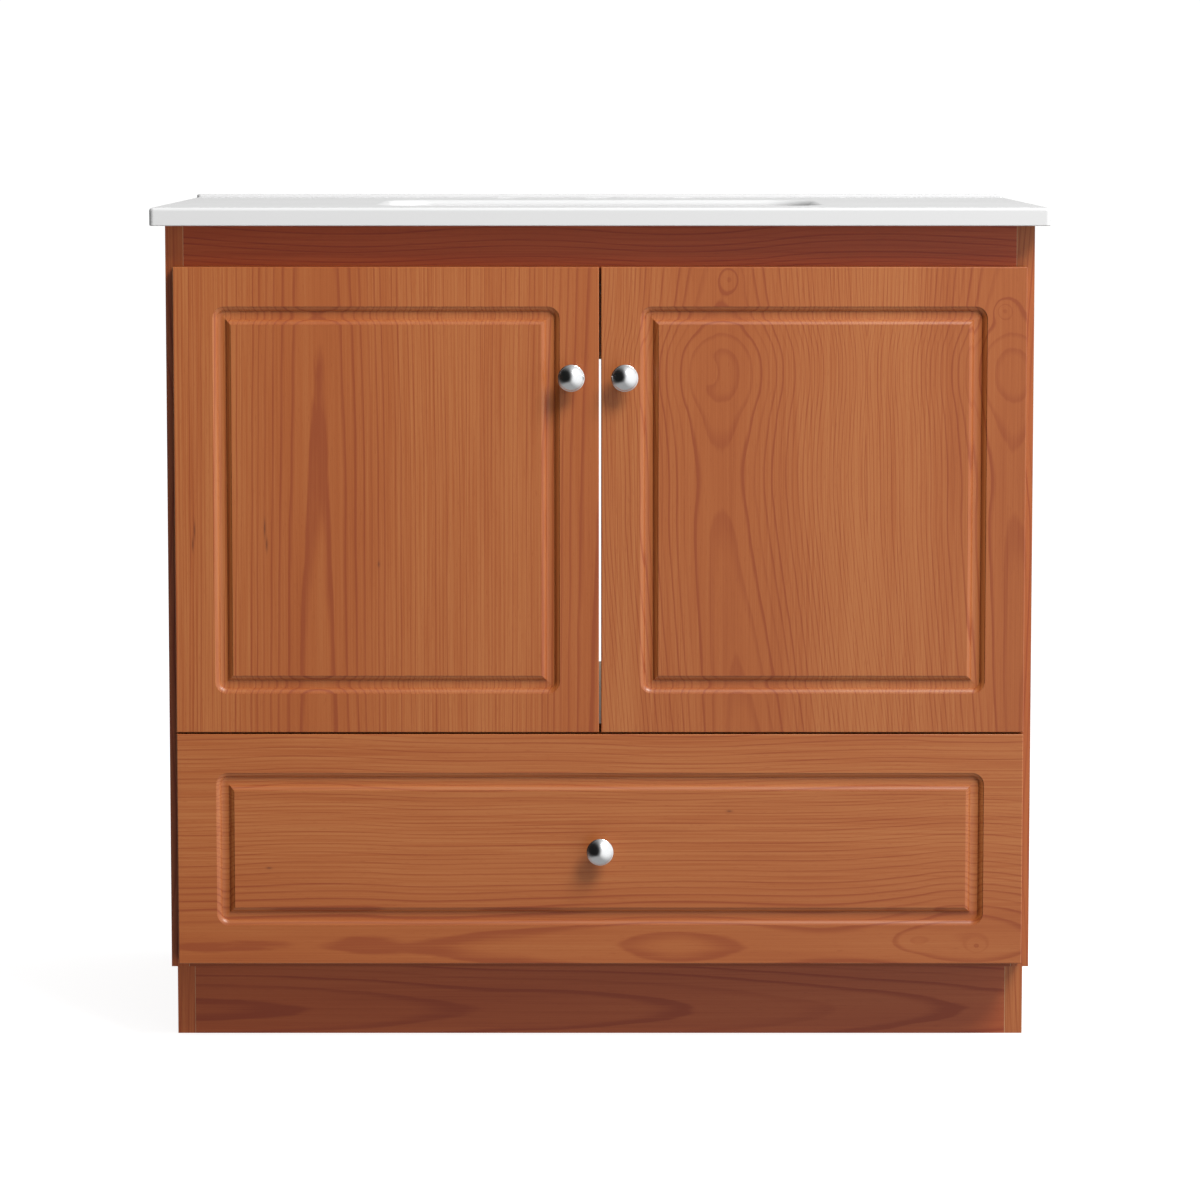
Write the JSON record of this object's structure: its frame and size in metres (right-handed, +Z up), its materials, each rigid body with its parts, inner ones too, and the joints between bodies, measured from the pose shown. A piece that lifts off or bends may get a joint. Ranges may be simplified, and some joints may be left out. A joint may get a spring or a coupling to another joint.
{
  "type": "bathroom vanity cabinet",
  "caption": "Floor-standing bathroom vanity: wooden case with hinged raised-panel doors over a wide drawer, and a white top with an integral rectangular basin.",
  "frame": {"origin": "on the floor, at the middle of the overall width and depth (knobs included)", "axes": "+X to the viewer's right, -Y out of the doors, +Z up"},
  "size_m": [0.9398, 0.5658, 0.8986],
  "materials": {
    "cherry_front": "satin",
    "cherry_case": "satin",
    "maple_inside": "satin",
    "white_glaze": "gloss",
    "polished_knob": "polished",
    "nickel_hinge": "satin",
    "zinc_slide": "satin",
    "zinc_screw": "satin",
    "clear_bumper": "soft"
  },
  "bodies": {
    "cabinet": {"side_panel_left": "cherry_case", "side_panel_right": "cherry_case", "front_top_rail": "cherry_case", "toe_kick": "cherry_case", "back_top_rail": "maple_inside", "deck_panel": "maple_inside", "bottom_panel": "maple_inside", "lower_back_panel": "maple_inside", "rear_plinth": "maple_inside", "plinth_rib": "maple_inside", "corner_braces": "maple_inside", "brace_screws": "zinc_screw", "countertop_basin": "white_glaze", "hinge_plates_left": "nickel_hinge", "hinge_plates_right": "nickel_hinge", "hinge_arms_left": "nickel_hinge", "hinge_arms_right": "nickel_hinge", "plate_screws_left": "zinc_screw", "plate_screws_right": "zinc_screw", "slide_cabinet_left": "zinc_slide", "slide_cabinet_right": "zinc_slide", "slide_cabinet_screws": "zinc_screw"},
    "door_left": {"door_left": "cherry_front", "knob_left": "polished_knob", "knob_screw_left": "zinc_screw", "hinge_cups_left": "nickel_hinge", "cup_screws_left": "zinc_screw", "door_bumpers_left": "clear_bumper"},
    "door_right": {"door_right": "cherry_front", "knob_right": "polished_knob", "knob_screw_right": "zinc_screw", "hinge_cups_right": "nickel_hinge", "cup_screws_right": "zinc_screw", "door_bumpers_right": "clear_bumper"},
    "drawer": {"drawer_front": "cherry_front", "knob_drawer": "polished_knob", "knob_screw_drawer": "zinc_screw", "drawer_side_left": "maple_inside", "drawer_side_right": "maple_inside", "drawer_box_front": "maple_inside", "drawer_box_back": "maple_inside", "drawer_bottom": "maple_inside", "drawer_front_screws": "zinc_screw", "drawer_bumpers": "clear_bumper", "slide_drawer_left": "zinc_slide", "slide_drawer_right": "zinc_slide", "slide_drawer_screws": "zinc_screw"},
    "slide_middles": {"slide_middle_left": "zinc_slide", "slide_middle_right": "zinc_slide"}
  },
  "joints": [
    {"name": "door_left_hinge", "type": "hinge", "parent": "cabinet", "child": "door_left", "pos_m": [-0.44775, -0.2405, 0.587], "axis": [0, 0, -1], "range_deg": [0, 100]},
    {"name": "door_right_hinge", "type": "hinge", "parent": "cabinet", "child": "door_right", "pos_m": [0.44775, -0.2405, 0.587], "axis": [0, 0, 1], "range_deg": [0, 100]},
    {"name": "drawer_slide", "type": "slide", "parent": "cabinet", "child": "drawer", "axis": [0, -1, 0], "range_m": [0, 0.43]},
    {"name": "middle_slide", "type": "slide", "parent": "cabinet", "child": "slide_middles", "axis": [0, -1, 0], "range_m": [0, 0.215]}
  ],
  "couplings": [
    {"joint": "middle_slide", "follows": "drawer_slide", "ratio": 0.5}
  ]
}
